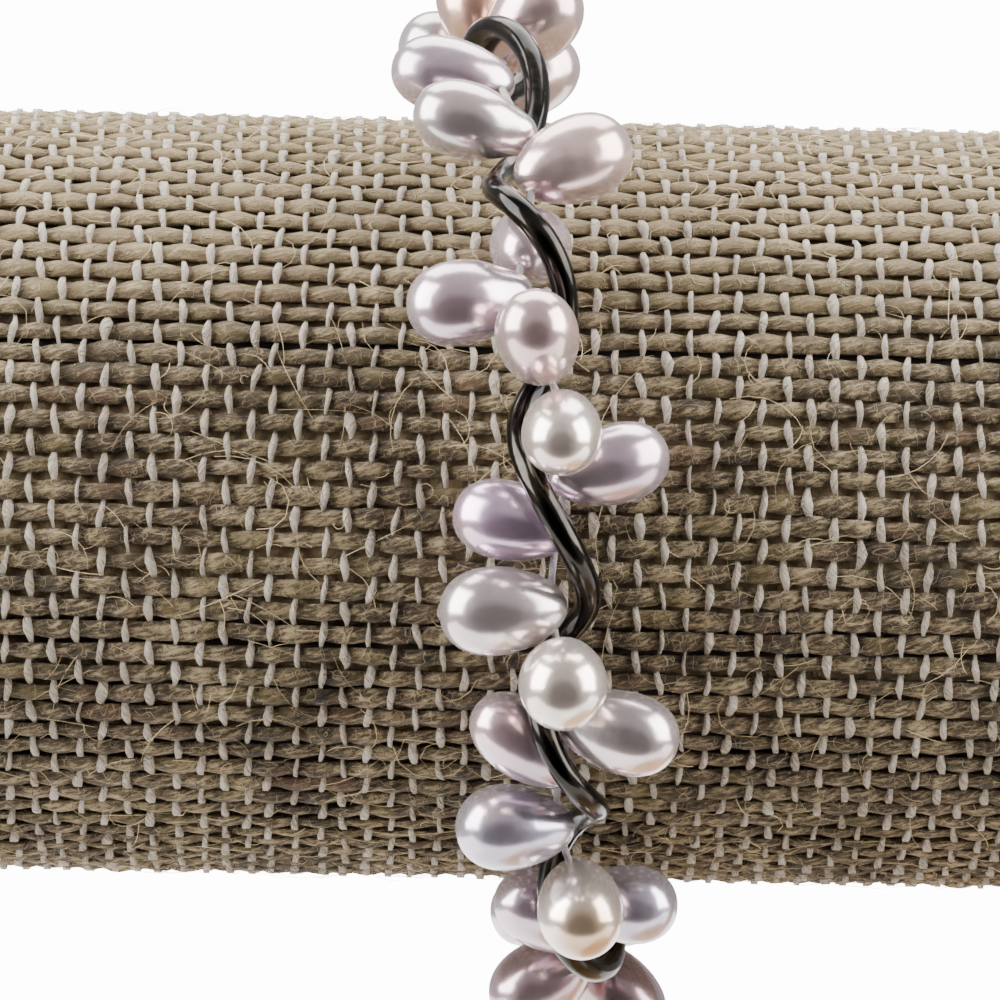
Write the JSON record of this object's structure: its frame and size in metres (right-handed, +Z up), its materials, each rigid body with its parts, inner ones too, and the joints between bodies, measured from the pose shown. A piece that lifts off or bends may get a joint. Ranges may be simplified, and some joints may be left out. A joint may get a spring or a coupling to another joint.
{
  "type": "pearl bracelet on a display stand",
  "caption": "Strung drop pearls wound with a dark wire spiral, closed as a loop round a padded burlap-covered display bar on a post with a round foot.",
  "frame": {"origin": "middle of the foot's underside, on the surface that the stand rests on", "axes": "+Z up, +X along the bar away from the bracelet's end, -Y towards the bracelet's front"},
  "size_m": [0.2, 0.1, 0.1459],
  "materials": {
    "pearl": "soft pearl lustre",
    "wire": "polished dark oxidised metal",
    "thread": "smooth thin cord",
    "clasp": "satin dark oxidised metal",
    "burlap": "coarse woven jute",
    "wood": "pale satin"
  },
  "bodies": {
    "root": {"barrel_clasp": "clasp", "display_bar": "burlap", "display_foot": "wood", "pearl_01": "pearl", "pearl_02": "pearl", "pearl_03": "pearl", "pearl_04": "pearl", "pearl_05": "pearl", "pearl_06": "pearl", "pearl_07": "pearl", "pearl_08": "pearl", "pearl_09": "pearl", "pearl_10": "pearl", "pearl_11": "pearl", "pearl_12": "pearl", "pearl_13": "pearl", "pearl_14": "pearl", "pearl_15": "pearl", "pearl_16": "pearl", "pearl_17": "pearl", "pearl_18": "pearl", "pearl_19": "pearl", "pearl_20": "pearl", "pearl_21": "pearl", "pearl_22": "pearl", "pearl_23": "pearl", "pearl_24": "pearl", "pearl_25": "pearl", "pearl_26": "pearl", "pearl_27": "pearl", "pearl_28": "pearl", "pearl_29": "pearl", "pearl_30": "pearl", "pearl_31": "pearl", "pearl_32": "pearl", "pearl_33": "pearl", "pearl_34": "pearl", "pearl_35": "pearl", "pearl_36": "pearl", "pearl_37": "pearl", "thread": "thread", "wire_spiral": "wire"}
  },
  "joints": []
}
